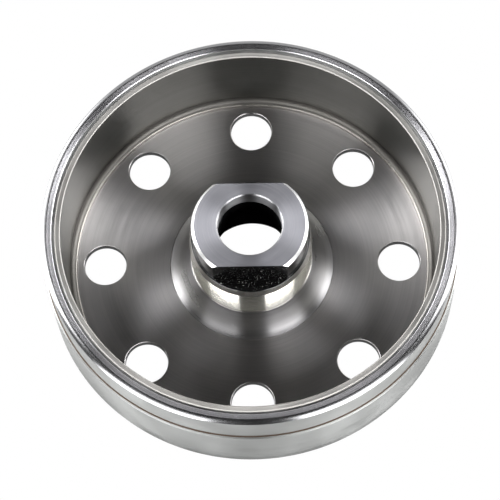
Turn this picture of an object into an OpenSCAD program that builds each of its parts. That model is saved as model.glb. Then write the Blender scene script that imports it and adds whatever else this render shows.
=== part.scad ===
// Magneto flywheel: a turned steel cup that carries a ring of magnets behind a
// thin cover, with a separate steel hub pressed into the middle of its web.
// The axis is Z, z = 0 is the back face and +Z is the open side. Millimetres.

/* [Cup] */
// Diameter of the lower band of the outer wall
cup_d = 150; // [148.5:0.5:154]
// Diameter of the upper band of the outer wall
upper_band_d = 148; // [147:0.5:148]
// Height of the middle of the sloping ledge between the two bands
ledge_z = 26.4; // [20:0.1:32]
// Height of the rim face above the back face
cup_h = 40; // [39.5:0.1:41]
// Thickness of the web
web_t = 3.8; // [3:0.1:4.2]
// Diameter of the cup's inner wall, behind the magnets
cup_bore_d = 140.6; // [140.4:0.1:141.2]
// Outer diameter of the rim face, where its rounded edge begins
rim_face_d = 144.2; // [143.6:0.1:145]
// Radius of the bottom outer corner
corner_r = 2.5; // [1:0.1:4]

/* [Lightening holes] */
// Number of holes through the web
hole_count = 8; // [4:1:8]
// Hole diameter
hole_d = 15.5; // [10:0.1:17]
// Diameter of the circle that the hole centres lie on
hole_pcd = 108.8; // [100:0.2:110]
// Width of the chamfer round each hole at the open side
hole_chamfer = 0.35; // [0.1:0.05:0.6]
// Width of the chamfer round each hole at the back
hole_back_chamfer = 1.4; // [0.4:0.1:1.8]

/* [Hub] */
// Diameter of the nose
nose_d = 41.6; // [40:0.2:42]
// Height of the nose face above the back face
nose_z = 39.5; // [38:0.1:41]
// Width across the two wrench flats
across_flats = 32; // [30:0.5:34]
// Height of the floor of the wrench flats
flat_floor_z = 28.8; // [26:0.1:32]
// Diameter of the ground collar
collar_d = 44.2; // [43.6:0.2:45]
// Height of the collar's lower edge
collar_z = 10.8; // [9:0.1:13]
// Diameter of the flange that sits in the web
flange_d = 60.2; // [58:0.2:62]
// Diameter of the spigot pressed through the web
spigot_d = 52; // [46:0.5:54]

/* [Bore] */
// Diameter of the straight land at the nose end
land_d = 23; // [20:0.5:24]
// Length of the straight land
land_len = 5.5; // [4:0.1:8]
// Taper of the bore, growth in diameter per unit of length
bore_taper = 0.2; // [0.1:0.01:0.2]
// Diameter of the relief at the back of the bore
relief_d = 34.8; // [32:0.2:36]
// Depth of the relief
relief_len = 11; // [9:0.1:12]
// Width of the keyway
key_w = 5; // [3:0.5:6]
// Depth of the keyway below the taper
key_depth = 1.8; // [1:0.1:2.5]

/* [Magnets] */
// Number of magnets, and of the spacers between them
magnet_count = 12; // [8:1:12]
// Height of the magnets
magnet_h = 29.5; // [26:0.1:30]
// Width of the gap between magnets
pole_gap = 3.4; // [2:0.1:6]
// Thickness of the ring under the magnets
base_ring_t = 3; // [2:0.1:3.2]

/* [Cover] */
// Inner diameter of the cover
cover_d = 134.4; // [134:0.1:134.8]
// Thickness of its sheet metal
cover_t = 0.5; // [0.4:0.05:0.6]
// Outer diameter of the flange at its mouth
cover_flange_d = 138.8; // [138:0.1:139.6]
// Depth of the mouth flange below the rim face
cover_drop = 0.8; // [0.4:0.1:1.2]
// Inner diameter of the rolled lip at its bottom
lip_d = 129.4; // [128:0.1:130]

/* [Hidden] */
$fn = 180;
corner_steps = 6;     // segments along each rounded part of an outline
bead_steps = 5;
scoop_steps = 8;
flare_steps = 12;
cut = 1;              // how far a cutting tool runs past a face
glue = 0.1;           // radial gap that the adhesive fills
cup_r = cup_d / 2;
band_r = upper_band_d / 2;
cup_bore_r = cup_bore_d / 2;
edge_break = 0.25;
rim_dish = 0.35;      // how much lower the rim face is at its inner edge
rim_edge_tilt = 50;   // angle that the rim's rounded outer edge turns through
rim_edge_r = (band_r - rim_face_d / 2) / sin(rim_edge_tilt);
ledge_drop = 0.4;     // fall of the ledge from its inner to its outer edge
seat_gap = 0.12;      // joint ring left open between hub flange and web
seat_r = flange_d / 2 + seat_gap;
seat_depth = 2;
hole_r = hole_d / 2;
nose_r = nose_d / 2;
nose_chamfer = 1;
collar_r = collar_d / 2;
collar_lead_w = 0.7;  // radial width of the cone above the collar
collar_lead_h = 2.4;
shoulder_w = 0.4;     // step below the collar
shoulder_h = 0.4;
flare_knee = [0.46, 0.84]; // where the flare's two end tangents meet, as shares of its span
land_r = land_d / 2;
bore_mouth_w = 0.4;   // chamfer at the mouth of the bore
bore_mouth_r = land_r + bore_mouth_w;
taper_top_z = nose_z - bore_mouth_w - land_len;
taper_len = taper_top_z - relief_len;
taper_r = land_r + taper_len * bore_taper / 2;
relief_chamfer = 0.6;
key_share = 0.8;      // part of the taper's length that has the keyway
key_len = key_share * taper_len;
magnet_z = web_t + base_ring_t;
magnet_in_r = cover_d / 2 + cover_t + glue;
magnet_out_r = cup_bore_r - glue;
pole_angle = 360 / magnet_count;
gap_angle = 2 * asin(pole_gap / 2 / magnet_in_r);
spacer_side_gap = 0.05;
flange_z = cup_h - cover_drop;
flange_edge_h = 0.3;  // chamfer at the outer edge of the cover's flange
flange_edge_w = 0.45;
bead_r = 0.5;         // rounding of the cover's mouth edge
scoop_r = 2.6;        // concave corner at the bottom of the cover
scoop_z = 8.0;
scoop_end = 62;       // angle that the concave corner turns through
lip_r = lip_d / 2;
lip_rise = 1.2;       // height of the lip's rounding above the web
lip_start = 70;       // angles at which the lip's bead and the sheet's back begin
sheet_start = -68;

// A name that ends in a number of two digits
function numbered(stem, i) = str(stem, i < 10 ? "0" : "", i);

// Points along an arc in the (r, z) plane, from angle a0 to angle a1
function arc(c, r, a0, a1, n) =
    [for (i = [0 : n]) let (a = a0 + (a1 - a0) * i / n) c + r * [cos(a), sin(a)]];

// Points along the shallow concave curve between the collar and the web
function flare(n) = let (
    top = [collar_r + shoulder_w, collar_z - shoulder_h],
    foot = [flange_d / 2, web_t],
    span = foot - top,
    knee = top + [span[0] * flare_knee[0], span[1] * flare_knee[1]]
) [for (i = [0 : n]) let (t = i / n)
    (1 - t) * (1 - t) * top + 2 * t * (1 - t) * knee + t * t * foot
];

// Point on the rim's rounded outer edge, where the surface has tilted by the angle a
function rim_edge(a) = [
    rim_face_d / 2 + rim_edge_r * sin(a),
    cup_h - rim_edge_r * (1 - cos(a))
];

// A ring of rectangular section
module ring(r_in, r_out, z, h) {
    translate([0, 0, z]) difference() {
        cylinder(r = r_out, h = h);
        translate([0, 0, -cut]) cylinder(r = r_in, h = h + 2 * cut);
    }
}

// The part of a ring that lies within half_angle of the +X direction
module sector(r_in, r_out, z, h, half_angle) {
    reach = 2 * r_out;
    intersection() {
        ring(r_in, r_out, z, h);
        translate([0, 0, z - cut]) linear_extrude(h + 2 * cut) polygon([
            [0, 0],
            reach * [cos(half_angle), -sin(half_angle)],
            reach * [cos(half_angle), sin(half_angle)]
        ]);
    }
}

// Steel cup: the web, the outer wall and the rim face
module rotor_cup() color([0.66, 0.67, 0.66]) difference() {
    rotate_extrude() polygon(concat(
        [[spigot_d / 2, 0]],
        arc([cup_r - corner_r, corner_r], corner_r, -90, 0, corner_steps),
        [
            [cup_r, ledge_z - ledge_drop / 2],
            [band_r, ledge_z + ledge_drop / 2]
        ],
        [for (i = [corner_steps : -1 : 0]) rim_edge(rim_edge_tilt * i / corner_steps)],
        [
            [cup_bore_r + edge_break, cup_h - rim_dish],
            [cup_bore_r, cup_h - rim_dish - edge_break],
            [cup_bore_r, web_t],
            [seat_r, web_t],
            [seat_r, web_t - seat_depth],
            [spigot_d / 2, web_t - seat_depth]
        ]
    ));
    for (i = [0 : hole_count - 1]) rotate(i * 360 / hole_count) lightening_hole();
}

// Cutting tool for one hole, chamfered at both faces of the web
module lightening_hole() translate([hole_pcd / 2, 0, 0]) {
    translate([0, 0, -cut]) cylinder(r = hole_r, h = web_t + 2 * cut);
    translate([0, 0, web_t - hole_chamfer])
        cylinder(r1 = hole_r, r2 = hole_r + 2 * hole_chamfer, h = 2 * hole_chamfer);
    translate([0, 0, -hole_back_chamfer])
        cylinder(r1 = hole_r + 2 * hole_back_chamfer, r2 = hole_r, h = 2 * hole_back_chamfer);
}

// Steel hub: spigot, flange, flare, collar and nose in one turned piece
module hub() color([0.62, 0.63, 0.65]) difference() {
    rotate_extrude() polygon(concat(
        [
            [relief_d / 2 + relief_chamfer, 0],
            [spigot_d / 2, 0],
            [spigot_d / 2, web_t - seat_depth],
            [flange_d / 2, web_t - seat_depth]
        ],
        [for (i = [flare_steps : -1 : 0]) flare(flare_steps)[i]],
        [
            [collar_r, collar_z],
            [collar_r, flat_floor_z - collar_lead_h],
            [collar_r - collar_lead_w, flat_floor_z],
            [nose_r, flat_floor_z],
            [nose_r, nose_z - nose_chamfer],
            [nose_r - nose_chamfer, nose_z],
            [bore_mouth_r, nose_z],
            [land_r, nose_z - bore_mouth_w],
            [land_r, taper_top_z],
            [taper_r, relief_len],
            [relief_d / 2, relief_len],
            [relief_d / 2, relief_chamfer]
        ]
    ));
    for (side = [0, 180]) rotate(side) wrench_flat();
    keyway();
}

// Cutting tool for one wrench flat, on the +Y side
module wrench_flat() translate([-nose_d / 2, across_flats / 2, flat_floor_z])
    cube([nose_d, nose_d, nose_z]);

// Cutting tool for the keyway, parallel to the taper on the -Y side
module keyway() translate([0, -taper_r, relief_len]) rotate([-atan(bore_taper / 2), 0, 0])
    translate([-key_w / 2, -key_depth, -cut]) cube([key_w, 2 * key_depth, key_len + cut]);

// Steel ring that the magnets stand on
module base_ring() color([0.55, 0.55, 0.56])
    ring(magnet_in_r, magnet_out_r, web_t, base_ring_t);

// Steel ring that fills the space between the magnets and the cover's flange
module end_ring() color([0.55, 0.55, 0.56])
    ring(magnet_in_r, magnet_out_r, magnet_z + magnet_h, flange_z - cover_t - magnet_z - magnet_h);

// One magnet, an arc of a ring
module magnet(i) color([0.22, 0.22, 0.24]) rotate((i - 0.5) * pole_angle)
    sector(magnet_in_r, magnet_out_r, magnet_z, magnet_h, pole_angle / 2 - gap_angle / 2);

// One spacer, which keeps two magnets apart
module spacer(i) color([0.12, 0.12, 0.12]) rotate((i - 1) * pole_angle)
    sector(magnet_in_r, magnet_out_r, magnet_z, magnet_h, gap_angle / 2 - spacer_side_gap);

// Drawn sheet metal cover with a flange at its mouth and a rolled lip at its bottom
module magnet_cover() color([0.50, 0.50, 0.47]) rotate_extrude() polygon(concat(
    [
        [cover_flange_d / 2, flange_z - cover_t],
        [cover_flange_d / 2, flange_z - flange_edge_h],
        [cover_flange_d / 2 - flange_edge_w, flange_z]
    ],
    arc([cover_d / 2 + bead_r, flange_z - bead_r], bead_r, 90, 180, bead_steps),
    arc([cover_d / 2 - scoop_r, scoop_z], scoop_r, 0, -scoop_end, scoop_steps),
    arc([lip_r + bead_r, web_t + lip_rise], bead_r, lip_start, 180, bead_steps),
    [
        [lip_r, web_t],
        [lip_r + cover_t, web_t]
    ],
    arc([cover_d / 2 - scoop_r, scoop_z], scoop_r + cover_t, sheet_start, 0, scoop_steps),
    [[cover_d / 2 + cover_t, flange_z - cover_t]]
));

rotor_cup();
hub();
base_ring();
end_ring();
magnet_cover();
for (i = [1 : magnet_count]) magnet(i);
for (i = [1 : magnet_count]) spacer(i);
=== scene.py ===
"""Magneto flywheel in a plain white studio: turned steel cup, ground hub, drawn liner."""
import math

import bmesh
import bpy
from mathutils import Matrix, Vector, noise


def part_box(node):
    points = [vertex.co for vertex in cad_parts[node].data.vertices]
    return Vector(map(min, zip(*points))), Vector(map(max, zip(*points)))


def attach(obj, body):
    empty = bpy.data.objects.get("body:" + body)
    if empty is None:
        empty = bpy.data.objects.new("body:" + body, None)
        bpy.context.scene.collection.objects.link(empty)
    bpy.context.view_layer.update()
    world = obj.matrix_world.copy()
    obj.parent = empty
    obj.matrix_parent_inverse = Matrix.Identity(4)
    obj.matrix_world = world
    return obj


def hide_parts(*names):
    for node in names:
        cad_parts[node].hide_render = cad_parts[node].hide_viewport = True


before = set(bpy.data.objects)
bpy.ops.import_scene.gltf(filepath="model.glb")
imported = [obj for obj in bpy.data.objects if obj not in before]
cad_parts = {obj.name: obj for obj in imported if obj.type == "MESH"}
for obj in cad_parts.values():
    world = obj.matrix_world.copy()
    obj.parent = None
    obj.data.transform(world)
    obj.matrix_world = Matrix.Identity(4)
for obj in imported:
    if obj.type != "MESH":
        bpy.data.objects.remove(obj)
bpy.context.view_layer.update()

MM = 0.001

# How finely round shapes are cut.
STEPS_ROUND = 360          # segments round the axis
STEPS_CORNER = 4           # segments along a rounded corner
STEPS_HOLE = 96            # segments round a lightening hole
STEPS_RIM = 10             # segments across the rim's rounded edge
STEPS_FLARE = 24           # segments down the hub's flare
STEPS_RIDGE = 8            # segments across one ridge of the collar
SAME_PLACE = 0.0002        # points closer than this are one point

# Margins that tell one surface from the next when the faces are painted.
NEAR = 0.5
SKIN = 0.1

# Sizes in millimetres, with z up from the back. The first group comes from the boxes of the CAD nodes.
cup_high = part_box("rotor_cup")[1] / MM
hub_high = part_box("hub")[1] / MM
cover_low, cover_high = (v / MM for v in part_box("magnet_cover"))
CUP_R = cup_high.x
RIM_Z = cup_high.z
FLANGE_R = hub_high.x
NOSE_Z = hub_high.z
MOUTH_R = cover_high.x
MOUTH_Z = cover_high.z
WEB_Z = cover_low.z

# The cup.
BACK_EDGE_R = 2.5          # rounding of the outer corner at the back
BAND_R = 74.0              # outside of the upper band, above the ledge
LEDGE_Z = 26.4             # middle of the sloping ledge
LEDGE_DROP = 0.4
LEDGE_LOW = LEDGE_Z - LEDGE_DROP / 2
LEDGE_HIGH = LEDGE_Z + LEDGE_DROP / 2
SEAM_W = 0.4               # inner part of the ledge, painted dark brown as shade in the crease
SEAM_DEPTH = 0.25          # small groove above the ledge
SEAM_H = 0.45
RIM_FACE_R = 72.1
RIM_EDGE_TILT = 50.0       # degrees that the rim's rounded outer edge turns through
RIM_DISH = 0.35            # how far the rim's face drops towards the bore
CUP_BORE_R = 70.3
SPIGOT_R = 26.0
SEAT_GAP = 0.12            # fine joint between web and hub
SEAT_R = FLANGE_R + SEAT_GAP
SEAT_DEPTH = 2.0           # how deep the hub's flange is let into the web
SEAT_Z = WEB_Z - SEAT_DEPTH
HOLE_COUNT = 8
HOLE_R = 7.75
HOLE_CIRCLE_R = 54.4
HOLE_BACK_CHAMFER = 1.4
HOLE_EDGE_W = 0.4          # broken edge at the holes' front, a little past the web's surface
HOLE_EDGE_DEPTH = 0.35
HOLE_EDGE_KNEE = 0.12
HOLE_EDGE_PAST = 0.05
HOLE_OVERRUN = 1.0         # how far the cutting tool reaches past the web

# The hub.
NOSE_R = 20.8
NOSE_CHAMFER = 1.0
FLAT_Y = 16.0              # half the distance across the flats
FLAT_FLOOR_Z = 28.8
COLLAR_R = 22.1
COLLAR_Z = 10.8
COLLAR_TOP_Z = FLAT_FLOOR_Z - 2.4
SHOULDER_R = COLLAR_R - 0.7
STEP_W = 0.4               # small step at the collar's foot
RIDGE_COUNT = 11           # fine level ridges on the collar
RIDGE_PITCH = 1.3
RIDGE_DEPTH = 0.52
RIDGE_Z = 11.6             # where the lowest ridge starts
FLARE_KNEE = (0.46, 0.84)  # where the flare's end tangents meet, as shares of its span
LAND_R = 11.5
BORE_MOUTH_R = 11.9
TAPER_TOP_Z = 33.6
TAPER_R = 13.76
RELIEF_R = 17.4
RELIEF_Z = 11.0
RELIEF_CHAMFER = 0.6
KEY_W = 5.0
KEY_DEPTH = 1.8
KEY_LEN = 18.08
CHATTER = 0.035            # height of the mill's marks on the flats
CHATTER_STRETCH = (0.9, 2.2, 2.2)
CHATTER_APART = 30         # keeps the marks of the two flats different
CHATTER_FRACTAL = (0.8, 2.0, 4)  # increment, gap between octaves, number of octaves

# The liner.
COVER_R = 67.2
COVER_T = 0.5
FLANGE_EDGE_H = 0.3
FLANGE_EDGE_W = 0.45
LIP_R = 64.7
LIP_RISE = 1.2
BEAD_R = 0.5
SCOOP_R = 2.6
SCOOP_Z = 8.0


# ---------------------------------------------------------------- mesh helpers

def rounded(corners):
    """Closed outline of (r, z) points from corners given as (r, z, rounding radius)."""
    points = []
    count = len(corners)
    for i, (r, z, radius) in enumerate(corners):
        here = Vector((r, z))
        if radius == 0:
            points.append(here)
            continue
        before = (Vector(corners[i - 1][:2]) - here).normalized()
        after = (Vector(corners[(i + 1) % count][:2]) - here).normalized()
        half = before.angle(after) / 2
        centre = here + (before + after).normalized() * (radius / math.sin(half))
        start = here + before * (radius / math.tan(half)) - centre
        end = here + after * (radius / math.tan(half)) - centre
        turn = start.angle_signed(end)
        for step in range(STEPS_CORNER + 1):
            swung = start.copy()
            swung.rotate(Matrix.Rotation(-turn * step / STEPS_CORNER, 2))
            points.append(centre + swung)
    return points


def arc(centre, radius, start, end, steps):
    """Points of an arc in the (r, z) plane, as unrounded corners. Angles in degrees."""
    angles = [math.radians(start + (end - start) * i / steps) for i in range(steps + 1)]
    return [(centre[0] + radius * math.cos(a), centre[1] + radius * math.sin(a), 0) for a in angles]


def neighbours(count):
    """Each number below count with the one after it, and the last with the first."""
    return [(i, (i + 1) % count) for i in range(count)]


def new_object(name, bm):
    """An object, linked to the scene, from a bmesh in millimetres."""
    bmesh.ops.recalc_face_normals(bm, faces=bm.faces)
    mesh = bpy.data.meshes.new(name)
    bm.to_mesh(mesh)
    bm.free()
    mesh.transform(Matrix.Scale(MM, 4))
    piece = bpy.data.objects.new(name, mesh)
    bpy.context.scene.collection.objects.link(piece)
    return piece


def lathe(name, outline, steps=STEPS_ROUND, centre=(0, 0)):
    """Solid of revolution about a vertical axis from a closed outline of (r, z) points."""
    bm = bmesh.new()
    rings = []
    for i in range(steps):
        a = 2 * math.pi * i / steps
        ring = []
        for r, z in outline:
            ring.append(bm.verts.new((centre[0] + r * math.cos(a), centre[1] + r * math.sin(a), z)))
        rings.append(ring)
    for i, after in neighbours(steps):
        here, there = rings[i], rings[after]
        for j, k in neighbours(len(outline)):
            bm.faces.new((here[j], there[j], there[k], here[k]))
    clean(bm)
    return new_object(name, bm)


def clean(bm):
    """Joins points that share a place and drops what then has no area, such as a ring on the axis."""
    bmesh.ops.remove_doubles(bm, verts=bm.verts, dist=SAME_PLACE)
    bmesh.ops.dissolve_degenerate(bm, edges=bm.edges, dist=SAME_PLACE)
    bmesh.ops.delete(bm, geom=[edge for edge in bm.edges if not edge.link_faces], context="EDGES")


def subtract(piece, tools):
    """Cuts the tools out of the piece and removes them."""
    for tool in tools:
        cutter = piece.modifiers.new("cut", "BOOLEAN")
        cutter.operation = "DIFFERENCE"
        cutter.solver = "EXACT"
        cutter.object = tool
        apply_modifiers(piece)
        bpy.data.objects.remove(tool)
    bm = bmesh.new()
    bm.from_mesh(piece.data)
    bm.transform(Matrix.Scale(1 / MM, 4))
    clean(bm)
    bm.transform(Matrix.Scale(MM, 4))
    bm.to_mesh(piece.data)
    bm.free()


def apply_modifiers(piece):
    """Replaces the piece's mesh by the one that its modifiers make."""
    graph = bpy.context.evaluated_depsgraph_get()
    mesh = bpy.data.meshes.new_from_object(piece.evaluated_get(graph))
    piece.modifiers.clear()
    piece.data = mesh


def smooth(piece, sharp_angle=50):
    """Smooth shading that keeps flat faces flat and hard edges hard."""
    piece.data.polygons.foreach_set("use_smooth", [True] * len(piece.data.polygons))
    piece.data.set_sharp_from_angle(angle=math.radians(sharp_angle))
    weighted = piece.modifiers.new("weighted", "WEIGHTED_NORMAL")
    weighted.keep_sharp = True
    weighted.weight = 100
    apply_modifiers(piece)


def paint(piece, materials, choose):
    """Gives each face the material that choose(radius, height, normal) names, in millimetres."""
    names = list(materials)
    for name in names:
        piece.data.materials.append(materials[name])
    for face in piece.data.polygons:
        centre = face.center / MM
        outward = face.normal
        face.material_index = names.index(choose(math.hypot(centre.x, centre.y), centre.z, outward))


# ------------------------------------------------------------ material helpers

class Graph:
    """Adds nodes to the node tree of a material or a world, and links them."""

    def __init__(self, owner):
        owner.use_nodes = True
        self.tree = owner.node_tree
        self.tree.nodes.clear()

    def join(self, source, target):
        """Links a socket, or stores a plain value in the target."""
        if isinstance(source, bpy.types.NodeSocket):
            self.tree.links.new(source, target)
        else:
            target.default_value = source

    def node(self, kind, **settings):
        made = self.tree.nodes.new(kind)
        for key, value in settings.items():
            setattr(made, key, value)
        return made

    def math(self, operation, *values):
        made = self.node("ShaderNodeMath", operation=operation)
        for i, value in enumerate(values):
            self.join(value, made.inputs[i])
        return made.outputs[0]

    def remap(self, value, low, high, to_low, to_high, interpolation="LINEAR"):
        """Change of range, clamped at both ends."""
        made = self.node("ShaderNodeMapRange", clamp=True, interpolation_type=interpolation)
        for i, item in enumerate((value, low, high, to_low, to_high)):
            self.join(item, made.inputs[i])
        return made.outputs[0]

    def blend(self, factor, first, second):
        """Mix of two colours."""
        made = self.node("ShaderNodeMix", data_type="RGBA")
        self.join(factor, made.inputs["Factor"])
        self.join(first, made.inputs[6])
        self.join(second, made.inputs[7])
        return made.outputs[2]

    def unlike_camera(self, lit):
        """A strength that is plain white to the camera and lit to everything else."""
        path = self.node("ShaderNodeLightPath")
        made = self.node("ShaderNodeMix")
        self.join(path.outputs["Is Camera Ray"], made.inputs["Factor"])
        self.join(lit, made.inputs[2])
        self.join(1.0, made.inputs[3])
        return made.outputs[0]


class Shader(Graph):
    """Node tree of a new material with one Principled shader."""

    def __init__(self, name):
        self.material = bpy.data.materials.new(name)
        super().__init__(self.material)
        self.bsdf = self.node("ShaderNodeBsdfPrincipled")
        output = self.node("ShaderNodeOutputMaterial")
        self.join(self.bsdf.outputs["BSDF"], output.inputs["Surface"])

    def noise(self, vector, scale, detail, roughness):
        made = self.node("ShaderNodeTexNoise")
        self.join(vector, made.inputs["Vector"])
        made.inputs["Scale"].default_value = scale
        made.inputs["Detail"].default_value = detail
        made.inputs["Roughness"].default_value = roughness
        return made.outputs["Fac"]

    def place(self):
        """Object coordinates in millimetres."""
        coordinates = self.node("ShaderNodeTexCoord")
        scaled = self.node("ShaderNodeVectorMath", operation="SCALE")
        self.join(coordinates.outputs["Object"], scaled.inputs[0])
        scaled.inputs["Scale"].default_value = 1 / MM
        return scaled.outputs[0]

    def turned(self, around, across):
        """Coordinates that stretch a texture along the lathe's cut: slow round it, fine across it."""
        parts = self.node("ShaderNodeSeparateXYZ")
        self.join(self.place(), parts.inputs[0])
        x, y, z = parts.outputs
        squares = self.math("ADD", self.math("MULTIPLY", x, x), self.math("MULTIPLY", y, y))
        radius = self.math("SQRT", squares)
        together = self.node("ShaderNodeCombineXYZ")
        self.join(self.math("MULTIPLY", self.math("DIVIDE", x, radius), around), together.inputs[0])
        self.join(self.math("MULTIPLY", self.math("DIVIDE", y, radius), around), together.inputs[1])
        self.join(self.math("MULTIPLY", self.math("ADD", radius, z), across), together.inputs[2])
        return together.outputs[0]

    def bump(self, height, distance):
        made = self.node("ShaderNodeBump")
        made.inputs["Strength"].default_value = 1.0
        made.inputs["Distance"].default_value = distance
        self.join(height, made.inputs["Height"])
        self.join(made.outputs[0], self.bsdf.inputs["Normal"])


def turned_steel(name, colour, shade, roughness, spread, anisotropy, groove=2e-6, pitch=2.4,
                 smudge=0.12, grazing=1.0, turn=0.25):
    """Lathe-cut steel with fine rings, partial arcs and slow smudges.

    The rings shift the colour towards shade and the roughness by spread. groove is their depth in
    metres and pitch how many there are in a millimetre. smudge is what the smudges add to the
    roughness, grazing the tint at grazing angles, and turn the anisotropy's rotation.
    """
    s = Shader(name)
    rings = s.noise(s.turned(0.5, pitch), 1.0, 3.0, 0.65)
    arcs = s.noise(s.turned(9.0, pitch * 1.7), 1.0, 2.0, 0.6)
    scratch = s.remap(arcs, 0.62, 0.74, 0.0, 1.0)
    smudges = s.noise(s.place(), 0.055, 4.0, 0.55)
    tone = s.math("ADD", s.math("MULTIPLY", rings, 0.6), s.math("MULTIPLY", smudges, 0.4))
    tint = s.blend(s.remap(tone, 0.38, 0.62, 0.0, 1.0), (*shade, 1), (*colour, 1))
    s.join(tint, s.bsdf.inputs["Base Color"])
    by_rings = s.remap(rings, 0.35, 0.65, roughness - spread, roughness + spread)
    by_smudges = s.remap(smudges, 0.4, 0.65, 0.0, smudge)
    by_scratch = s.math("MULTIPLY", scratch, spread)
    rough = s.math("ADD", s.math("ADD", by_rings, by_smudges), by_scratch)
    s.join(rough, s.bsdf.inputs["Roughness"])
    s.bump(s.math("ADD", rings, s.math("MULTIPLY", scratch, -0.5)), groove)
    s.bsdf.inputs["Metallic"].default_value = 1.0
    s.bsdf.inputs["Specular Tint"].default_value = (grazing, grazing, grazing, 1)
    s.bsdf.inputs["Anisotropic"].default_value = anisotropy
    s.bsdf.inputs["Anisotropic Rotation"].default_value = turn
    tangent = s.node("ShaderNodeTangent", direction_type="RADIAL", axis="Z")
    s.join(tangent.outputs[0], s.bsdf.inputs["Tangent"])
    return s.material


def milled_steel(name):
    """Milled faces of the wrench flats: dark, with short chatter marks, nicks and a trace of oil."""
    s = Shader(name)
    stretched = s.node("ShaderNodeMapping")
    s.join(s.place(), stretched.inputs[0])
    stretched.inputs["Scale"].default_value = (0.35, 1.6, 1.6)
    chatter = s.noise(stretched.outputs[0], 1.6, 4.0, 0.7)
    nicks = s.remap(s.noise(s.place(), 2.2, 2.0, 0.6), 0.70, 0.73, 0.0, 1.0)
    marked = s.remap(chatter, 0.35, 0.65, 0.0, 1.0)
    base = s.blend(marked, (0.04, 0.04, 0.04, 1), (0.10, 0.10, 0.10, 1))
    s.join(s.blend(nicks, base, (0.90, 0.90, 0.88, 1)), s.bsdf.inputs["Base Color"])
    rough = s.math("ADD", s.remap(chatter, 0.3, 0.7, 0.16, 0.30), s.math("MULTIPLY", nicks, 0.4))
    s.join(rough, s.bsdf.inputs["Roughness"])
    s.bump(s.math("ADD", chatter, nicks), 1.5e-5)
    s.bsdf.inputs["Metallic"].default_value = 1.0
    return s.material


def sintered(name):
    """Dull dark magnet: fine grain with a few lighter chips."""
    s = Shader(name)
    grain = s.noise(s.place(), 3.0, 5.0, 0.7)
    chips = s.remap(s.noise(s.place(), 0.8, 3.0, 0.6), 0.62, 0.68, 0.0, 1.0)
    base = s.blend(grain, (0.018, 0.018, 0.020, 1), (0.075, 0.075, 0.080, 1))
    s.join(s.blend(chips, base, (0.13, 0.13, 0.135, 1)), s.bsdf.inputs["Base Color"])
    s.join(s.remap(grain, 0.3, 0.7, 0.45, 0.75), s.bsdf.inputs["Roughness"])
    s.bump(grain, 3e-5)
    s.bsdf.inputs["Metallic"].default_value = 0.6
    return s.material


def moulded(name):
    """Matte black moulded plastic with a fine spark-eroded grain."""
    s = Shader(name)
    grain = s.noise(s.place(), 5.0, 3.0, 0.6)
    base = s.blend(grain, (0.008, 0.008, 0.008, 1), (0.022, 0.022, 0.021, 1))
    s.join(base, s.bsdf.inputs["Base Color"])
    s.join(s.remap(grain, 0.3, 0.7, 0.42, 0.62), s.bsdf.inputs["Roughness"])
    s.bump(grain, 2e-5)
    return s.material


# ----------------------------------------------------------------- the pieces

def hole_tool(angle):
    """Cutting tool for one lightening hole: wide chamfer at the back, broken edge at the front."""
    outline = [
        (0, -HOLE_OVERRUN),
        (HOLE_R + HOLE_BACK_CHAMFER + HOLE_OVERRUN, -HOLE_OVERRUN),
        (HOLE_R, HOLE_BACK_CHAMFER),
        (HOLE_R, WEB_Z - HOLE_EDGE_DEPTH),
        (HOLE_R + HOLE_EDGE_KNEE, WEB_Z - HOLE_EDGE_KNEE),
        (HOLE_R + HOLE_EDGE_W, WEB_Z + HOLE_EDGE_PAST),
        (HOLE_R + HOLE_OVERRUN, WEB_Z + HOLE_OVERRUN),
        (0, WEB_Z + HOLE_OVERRUN),
    ]
    centre = (HOLE_CIRCLE_R * math.cos(angle), HOLE_CIRCLE_R * math.sin(angle))
    return lathe("hole_tool", outline, STEPS_HOLE, centre)


def rotor_cup(materials):
    """Cup with its web, holes, two-band wall and a rim with a rounded outer edge."""
    tilt = math.radians(RIM_EDGE_TILT)
    rim_edge_r = (BAND_R - RIM_FACE_R) / math.sin(tilt)
    rim_edge = arc((RIM_FACE_R, RIM_Z - rim_edge_r), rim_edge_r, 90 - RIM_EDGE_TILT, 90, STEPS_RIM)
    wall_top = RIM_Z - rim_edge_r * (1 - math.cos(tilt))
    corners = [
        (SPIGOT_R, 0, 0),
        (CUP_R, 0, BACK_EDGE_R),
        (CUP_R, LEDGE_LOW, 0.25),
        (BAND_R + SEAM_W, LEDGE_HIGH - LEDGE_DROP * SEAM_W / (CUP_R - BAND_R), 0),
        (BAND_R, LEDGE_HIGH, 0),
        (BAND_R - SEAM_DEPTH, LEDGE_HIGH + 0.1, 0),
        (BAND_R, LEDGE_HIGH + SEAM_H, 0.05),
        *rim_edge,
        (CUP_BORE_R, RIM_Z - RIM_DISH, 0.25),
        (CUP_BORE_R, WEB_Z, 0.3),
        (SEAT_R, WEB_Z, 0.12),
        (SEAT_R, SEAT_Z, 0),
        (SPIGOT_R, SEAT_Z, 0),
    ]
    cup = lathe("rotor_cup_turned", rounded(corners))
    subtract(cup, [hole_tool(2 * math.pi * i / HOLE_COUNT) for i in range(HOLE_COUNT)])

    def choose(radius, height, normal):
        inside = radius < CUP_BORE_R - NEAR
        if inside and height > WEB_Z - NEAR:
            return "web"
        if inside and height > SKIN:
            return "hole"
        if height > RIM_Z - RIM_DISH - 0.3 and radius < RIM_FACE_R:
            return "face"
        if height > wall_top:
            return "bevel"
        if height < SKIN:
            return "back"
        # The ledge's inner corner takes the seam's dark brown: painted shade in the crease.
        by_ledge = LEDGE_Z - SKIN < height < LEDGE_Z + 0.8
        if by_ledge and BAND_R - 0.3 < radius < BAND_R + 0.35:
            return "seam"
        return "wall"

    paint(cup, materials, choose)
    smooth(cup, 30)
    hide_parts("rotor_cup")
    return cup


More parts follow.
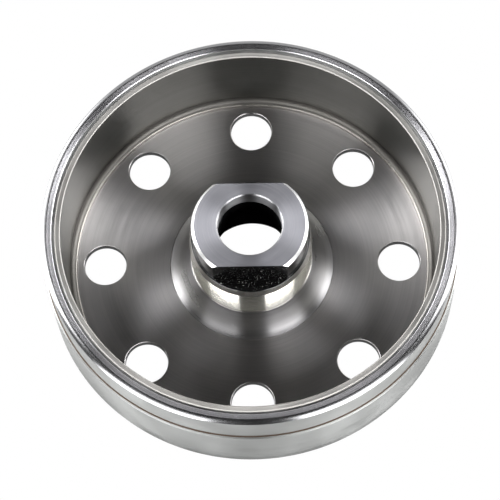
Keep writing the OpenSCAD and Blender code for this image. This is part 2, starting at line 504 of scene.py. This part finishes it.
def chattered_tool(side):
    """Cutting block for one wrench flat. Its two cutting faces carry the mill's chatter."""
    half = NOSE_R + 2
    depth = 8
    top = NOSE_Z + 1
    steps_along = 120
    steps_down = 16

    def ripple(x, y, z):
        stretched = [v * stretch for v, stretch in zip((x, y, z), CHATTER_STRETCH)]
        stretched[2] += CHATTER_APART * side
        return CHATTER * noise.fractal(Vector(stretched), *CHATTER_FRACTAL)

    wall = [(FLAT_Y, top - (top - FLAT_FLOOR_Z) * j / steps_down) for j in range(steps_down + 1)]
    floor = [(FLAT_Y + depth * j / steps_down, FLAT_FLOOR_Z) for j in range(1, steps_down + 1)]
    section = wall + floor + [(FLAT_Y + depth, top)]
    bm = bmesh.new()
    rows = []
    for i in range(steps_along + 1):
        x = -half + 2 * half * i / steps_along
        row = []
        for j, (y, z) in enumerate(section):
            push = ripple(x, y, z)
            if 0 < j < steps_down:
                y += push
            elif steps_down < j < 2 * steps_down:
                z += push
            row.append(bm.verts.new((x * side, y * side, z)))
        rows.append(row)
    for here, there in zip(rows, rows[1:]):
        for j, k in neighbours(len(section)):
            bm.faces.new((here[j], there[j], there[k], here[k]))
    bm.faces.new(rows[0])
    bm.faces.new(rows[-1])
    bmesh.ops.triangulate(bm, faces=bm.faces)
    return new_object("flat_tool", bm)


def key_tool():
    """Cutting block for the keyway, parallel to the taper."""
    bm = bmesh.new()
    bmesh.ops.create_cube(bm, size=1)
    size = Matrix.Diagonal((KEY_W, 2 * KEY_DEPTH, KEY_LEN + 1, 1))
    slope = math.atan((TAPER_R - LAND_R) / (TAPER_TOP_Z - RELIEF_Z))
    lean = Matrix.Rotation(-slope, 4, "X")
    lift = Matrix.Translation((0, 0, KEY_LEN / 2 - 0.5))
    place = Matrix.Translation((0, -TAPER_R, RELIEF_Z))
    bmesh.ops.transform(bm, matrix=place @ lean @ lift @ size, verts=bm.verts)
    return new_object("key_tool", bm)


def flare_curve():
    """The hub's flare from the web up to the collar: a quadratic curve with its knee at FLARE_KNEE."""
    foot = Vector((FLANGE_R, WEB_Z))
    top = Vector((COLLAR_R + STEP_W, COLLAR_Z - STEP_W))
    span = foot - top
    knee = top + Vector((span.x * FLARE_KNEE[0], span.y * FLARE_KNEE[1]))
    points = [(foot.x, foot.y, 0.1)]
    for i in range(1, STEPS_FLARE + 1):
        t = 1 - i / STEPS_FLARE
        point = (1 - t) ** 2 * top + 2 * t * (1 - t) * knee + t ** 2 * foot
        points.append((point.x, point.y, 0))
    return points


def ridges():
    """Fine level ridges up the collar, cut into it as a wave."""
    points = []
    for i in range(RIDGE_COUNT * STEPS_RIDGE + 1):
        depth = RIDGE_DEPTH * (1 - math.cos(2 * math.pi * i / STEPS_RIDGE)) / 2
        points.append((COLLAR_R - depth, RIDGE_Z + RIDGE_PITCH * i / STEPS_RIDGE, 0))
    return points


def hub(materials):
    """Hub: spigot, flange, flare, ridged collar and nose, with two wrench flats and a keyway."""
    corners = [
        (RELIEF_R + RELIEF_CHAMFER, 0, 0.05),
        (SPIGOT_R, 0, 0),
        (SPIGOT_R, SEAT_Z, 0),
        (FLANGE_R, SEAT_Z, 0),
        *flare_curve(),
        (COLLAR_R + STEP_W, COLLAR_Z, 0.12),
        (COLLAR_R, COLLAR_Z, 0.1),
        *ridges(),
        (COLLAR_R, COLLAR_TOP_Z, 0.3),
        (SHOULDER_R, FLAT_FLOOR_Z, 0.15),
        (NOSE_R, FLAT_FLOOR_Z, 0.1),
        (NOSE_R, NOSE_Z - NOSE_CHAMFER, 0.1),
        (NOSE_R - NOSE_CHAMFER, NOSE_Z, 0.1),
        (BORE_MOUTH_R, NOSE_Z, 0.08),
        (LAND_R, NOSE_Z - BORE_MOUTH_R + LAND_R, 0.08),
        (LAND_R, TAPER_TOP_Z, 0.08),
        (TAPER_R, RELIEF_Z, 0.1),
        (RELIEF_R, RELIEF_Z, 0.1),
        (RELIEF_R, RELIEF_CHAMFER, 0.05),
    ]
    piece = lathe("hub_turned", rounded(corners))
    subtract(piece, [chattered_tool(1), chattered_tool(-1), key_tool()])

    def choose(radius, height, normal):
        facing_up = normal.z > 0.9
        sloping = 0.5 < normal.z < 0.9
        if radius > COLLAR_R + SKIN:
            return "flare" if height > WEB_Z - 1 else "back"
        if radius < LAND_R + 0.3 and height > TAPER_TOP_Z - SKIN:
            return "land"
        low_inside = radius < RELIEF_R + 0.2 and height < FLAT_FLOOR_Z - NEAR
        high_inside = radius < LAND_R + 1 and height < NOSE_Z - 1
        if low_inside or high_inside:
            return "bore" if height > NEAR else "back"
        if height > NOSE_Z - NOSE_CHAMFER + SKIN and facing_up:
            return "nose"
        if height > NOSE_Z - NOSE_CHAMFER - SKIN and sloping:
            return "edge"
        if height > FLAT_FLOOR_Z - SKIN and radius < COLLAR_R:
            flat_wall = abs(normal.y) > 0.97
            return "milled" if flat_wall or facing_up else "nose_side"
        return "collar" if height > COLLAR_Z - NEAR else "back"

    paint(piece, materials, choose)
    smooth(piece, 45)
    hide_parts("hub")
    return piece


def magnet_cover(materials):
    """Drawn liner: mouth flange with a rounded edge, wall, scooped corner and rolled lip."""
    corners = [
        (MOUTH_R, MOUTH_Z - COVER_T, 0.05),
        (MOUTH_R, MOUTH_Z - FLANGE_EDGE_H, 0.1),
        (MOUTH_R - FLANGE_EDGE_W, MOUTH_Z, 0.3),
        *arc((COVER_R + BEAD_R, MOUTH_Z - BEAD_R), BEAD_R, 90, 180, 8),
        *arc((COVER_R - SCOOP_R, SCOOP_Z), SCOOP_R, 0, -62, 16),
        *arc((LIP_R + BEAD_R, WEB_Z + LIP_RISE), BEAD_R, 70, 180, 10),
        (LIP_R, WEB_Z, 0),
        (LIP_R + COVER_T, WEB_Z, 0),
        *arc((COVER_R - SCOOP_R, SCOOP_Z), SCOOP_R + COVER_T, -68, 0, 12),
        (COVER_R + COVER_T, MOUTH_Z - COVER_T, 0),
    ]
    piece = lathe("magnet_cover_drawn", rounded(corners))

    def choose(radius, height, normal):
        if height > MOUTH_Z - COVER_T - SKIN:
            return "flange"
        # Near the web the liner is painted by region: the lip light as a highlight, the scoop dark as
        # shade.
        if height < SCOOP_Z:
            return "lip" if radius < LIP_R + 0.8 else "scoop"
        return "wall"

    paint(piece, materials, choose)
    smooth(piece)
    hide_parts("magnet_cover")
    return piece


# -------------------------------------------------------------------- the scene

# The studio's soft boxes: azimuth from and to on either side (0 is the camera's side, 180 is
# behind), elevation from and to, strength on the left and on the right, softness of the edge.
# Angles in degrees.
SOFT_BOXES = (
    (19, 62, -2, 40, 9.0, 9.0, 3),
    (19, 62, 42, 60, 2.8, 6.5, 3),
    (92, 114, 0, 57, 11.8, 11.0, 6),
    (114, 146, -6, 26, 8.5, 7.8, 8),
    (114, 140, 26, 56, 1.9, 0.8, 8),
    (150, 200, 2, 42, 1.1, 1.1, 8),
)
DIM = 0.03                 # strength of the rest of the room
FLOOR_REACH = 6000.0       # half the width of the floor
FLOOR_DROP = 0.5           # how far it lies below the part
FLOOR_AROUND = 0.9         # strength of the floor round the cup, as it lights the metal
FLOOR_UNDER = 0.08         # and under the cup, where it is in shade
SHADE_WIDTH = 10.0         # width in which the shade ends


def lay_floor():
    """Pale floor, plain white to the camera and shaded under the cup as it lights the metal."""
    reach = FLOOR_REACH * MM
    mesh = bpy.data.meshes.new("floor")
    square = [(-reach, -reach, 0), (reach, -reach, 0), (reach, reach, 0), (-reach, reach, 0)]
    mesh.from_pydata(square, [], [(0, 1, 2, 3)])
    floor = bpy.data.objects.new("floor", mesh)
    bpy.context.scene.collection.objects.link(floor)
    floor.location.z = -FLOOR_DROP * MM

    pale = bpy.data.materials.new("pale_floor")
    g = Graph(pale)
    where = g.node("ShaderNodeTexCoord")
    length = g.node("ShaderNodeVectorMath", operation="LENGTH")
    g.join(where.outputs["Object"], length.inputs[0])
    shaded = g.remap(length.outputs["Value"], CUP_R * MM, (CUP_R + SHADE_WIDTH) * MM,
                     FLOOR_UNDER, FLOOR_AROUND, "SMOOTHSTEP")
    glow = g.node("ShaderNodeEmission")
    g.join(g.unlike_camera(shaded), glow.inputs["Strength"])
    out = g.node("ShaderNodeOutputMaterial")
    g.join(glow.outputs[0], out.inputs["Surface"])
    mesh.materials.append(pale)


def light_room():
    """Dim room with the soft boxes, plain white to the camera."""
    world = bpy.data.worlds.new("studio")
    bpy.context.scene.world = world
    g = Graph(world)

    def edge(angle, at, soft, low, high):
        """Goes softly from low to high where the angle passes a value."""
        return g.remap(angle, at - soft, at + soft, low, high, "SMOOTHSTEP")

    where = g.node("ShaderNodeTexCoord")
    parts = g.node("ShaderNodeSeparateXYZ")
    g.join(where.outputs["Generated"], parts.inputs[0])
    x, y, z = parts.outputs
    degrees = math.degrees(1)
    forward = g.math("MULTIPLY", y, -1.0)
    azimuth = g.math("MULTIPLY", g.math("ARCTAN2", g.math("ABSOLUTE", x), forward), degrees)
    elevation = g.math("MULTIPLY", g.math("ARCSINE", z), degrees)
    on_right = g.math("GREATER_THAN", x, 0.0)
    light = DIM
    for from_az, to_az, from_el, to_el, left, right, soft in SOFT_BOXES:
        box = g.math("MULTIPLY_ADD", on_right, right - left, left)
        for angle, start, end in ((azimuth, from_az, to_az), (elevation, from_el, to_el)):
            box = g.math("MULTIPLY", box, edge(angle, start, soft, 0, 1))
            box = g.math("MULTIPLY", box, edge(angle, end, soft, 1, 0))
        light = g.math("ADD", box, light)
    background = g.node("ShaderNodeBackground")
    g.join(g.unlike_camera(light), background.inputs["Strength"])
    out = g.node("ShaderNodeOutputWorld")
    g.join(background.outputs[0], out.inputs["Surface"])


def set_camera():
    """Long lens looking down into the cup, a little off the holes' axis."""
    distance = 692.7 * MM
    elevation = math.radians(67.05)
    turn = math.radians(2.86)
    roll = math.radians(-3.47)
    target = Vector((0, 0, 16.3 * MM))
    back = Vector((0, -math.cos(elevation), math.sin(elevation)))
    back.rotate(Matrix.Rotation(turn, 3, "Z"))
    data = bpy.data.cameras.new("camera")
    data.sensor_width = 36
    data.lens = 136.8
    data.shift_x = -0.0024
    data.clip_end = 50
    eye = bpy.data.objects.new("camera", data)
    bpy.context.scene.collection.objects.link(eye)
    look = (-back).to_track_quat("-Z", "Y").to_matrix().to_4x4()
    place = Matrix.Translation(target + back * distance)
    eye.matrix_world = place @ look @ Matrix.Rotation(roll, 4, "Z")
    bpy.context.scene.camera = eye


# Each steel: its name, colour, shade, roughness, spread and anisotropy, then what is particular to it.
cup_materials = {
    "web": turned_steel(
        "cup_web", (0.50, 0.485, 0.49), (0.43, 0.42, 0.425), 0.32, 0.03, 0.975, smudge=0.03),
    "hole": turned_steel(
        "cup_hole", (0.80, 0.80, 0.80), (0.70, 0.70, 0.70), 0.25, 0.05, 0.3),
    "face": turned_steel(
        "cup_face", (0.88, 0.87, 0.91), (0.82, 0.81, 0.85), 0.24, 0.02, 0.95, smudge=0.03),
    "bevel": turned_steel(
        "cup_bevel", (0.42, 0.42, 0.43), (0.36, 0.36, 0.37), 0.22, 0.01, 0.8,
        groove=5e-7, smudge=0.03),
    "wall": turned_steel(
        "cup_wall", (0.355, 0.36, 0.355), (0.31, 0.315, 0.31), 0.42, 0.05, 0.7),
    # Dark brown: painted shade in the crease at the ledge's inner corner.
    "seam": turned_steel(
        "cup_seam_painted_shade", (0.10, 0.075, 0.06), (0.06, 0.045, 0.035), 0.50, 0.05, 0.3),
    "back": turned_steel(
        "cup_back", (0.55, 0.55, 0.54), (0.42, 0.42, 0.41), 0.33, 0.06, 0.8),
}
hub_materials = {
    "nose": turned_steel(
        "hub_nose", (0.37, 0.37, 0.40), (0.30, 0.30, 0.33), 0.47, 0.06, 0.75,
        pitch=5.0, smudge=0.05),
    "nose_side": turned_steel(
        "hub_nose_side", (0.20, 0.20, 0.20), (0.14, 0.14, 0.14), 0.12, 0.02, 0.3, smudge=0.03),
    # Much lighter than the nose beside it: a painted highlight on the chamfers round the nose.
    "edge": turned_steel(
        "hub_edge_painted_highlight", (0.86, 0.86, 0.86), (0.76, 0.76, 0.76), 0.34, 0.03, 0.5, smudge=0.03),
    "milled": milled_steel("hub_flats"),
    "collar": turned_steel(
        "hub_collar", (0.90, 0.88, 0.83), (0.84, 0.82, 0.77), 0.17, 0.01, 0.98,
        groove=1e-6, smudge=0.02),
    "flare": turned_steel(
        "hub_flare", (0.41, 0.40, 0.41), (0.34, 0.335, 0.34), 0.28, 0.02, 0.93, smudge=0.04),
    "land": turned_steel(
        "hub_land", (0.32, 0.32, 0.33), (0.25, 0.25, 0.26), 0.34, 0.03, 0.95, smudge=0.03),
    # Near black, with the grazing tint almost gone: painted shade inside the deep bore.
    "bore": turned_steel(
        "hub_bore_painted_shade", (0.025, 0.025, 0.027), (0.012, 0.012, 0.013), 0.24, 0.04, 0.8, grazing=0.05),
    "back": cup_materials["back"],
}
cover_materials = {
    "flange": turned_steel(
        "cover_flange", (0.40, 0.39, 0.375), (0.35, 0.34, 0.325), 0.46, 0.05, 0.6, turn=0.0),
    "wall": turned_steel(
        "cover_wall", (0.23, 0.23, 0.215), (0.195, 0.195, 0.18), 0.30, 0.01, 0.3,
        groove=3e-7, smudge=0.02),
    # Darker than the wall: painted shade in the liner's bottom corner.
    "scoop": turned_steel(
        "cover_scoop_painted_shade", (0.14, 0.135, 0.125), (0.11, 0.105, 0.10), 0.34, 0.04, 0.1),
    # Lighter and warmer than the rest of the liner: a painted highlight along the rolled lip.
    "lip": turned_steel(
        "cover_lip_painted_highlight", (0.50, 0.48, 0.45), (0.42, 0.40, 0.37), 0.26, 0.03, 0.2),
}

set_camera()
lay_floor()
light_room()
for piece in (rotor_cup(cup_materials), hub(hub_materials), magnet_cover(cover_materials)):
    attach(piece, "root")

# The hidden pieces keep the CAD's mesh. Each takes the look of the start that its name has.
ring_look = turned_steel("ring_steel", (0.50, 0.50, 0.50), (0.38, 0.38, 0.38), 0.35, 0.05, 0.5)
hidden_looks = {
    "magnet_": sintered("magnet_sintered"),
    "spacer_": moulded("spacer_moulded"),
    "base_ring": ring_look,
    "end_ring": ring_look,
}
for name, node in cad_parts.items():
    if name == "magnet_cover":
        continue
    for start, look in hidden_looks.items():
        if name.startswith(start):
            for slot in node.material_slots:
                slot.material = look

bpy.context.scene.view_settings.view_transform = "Standard"
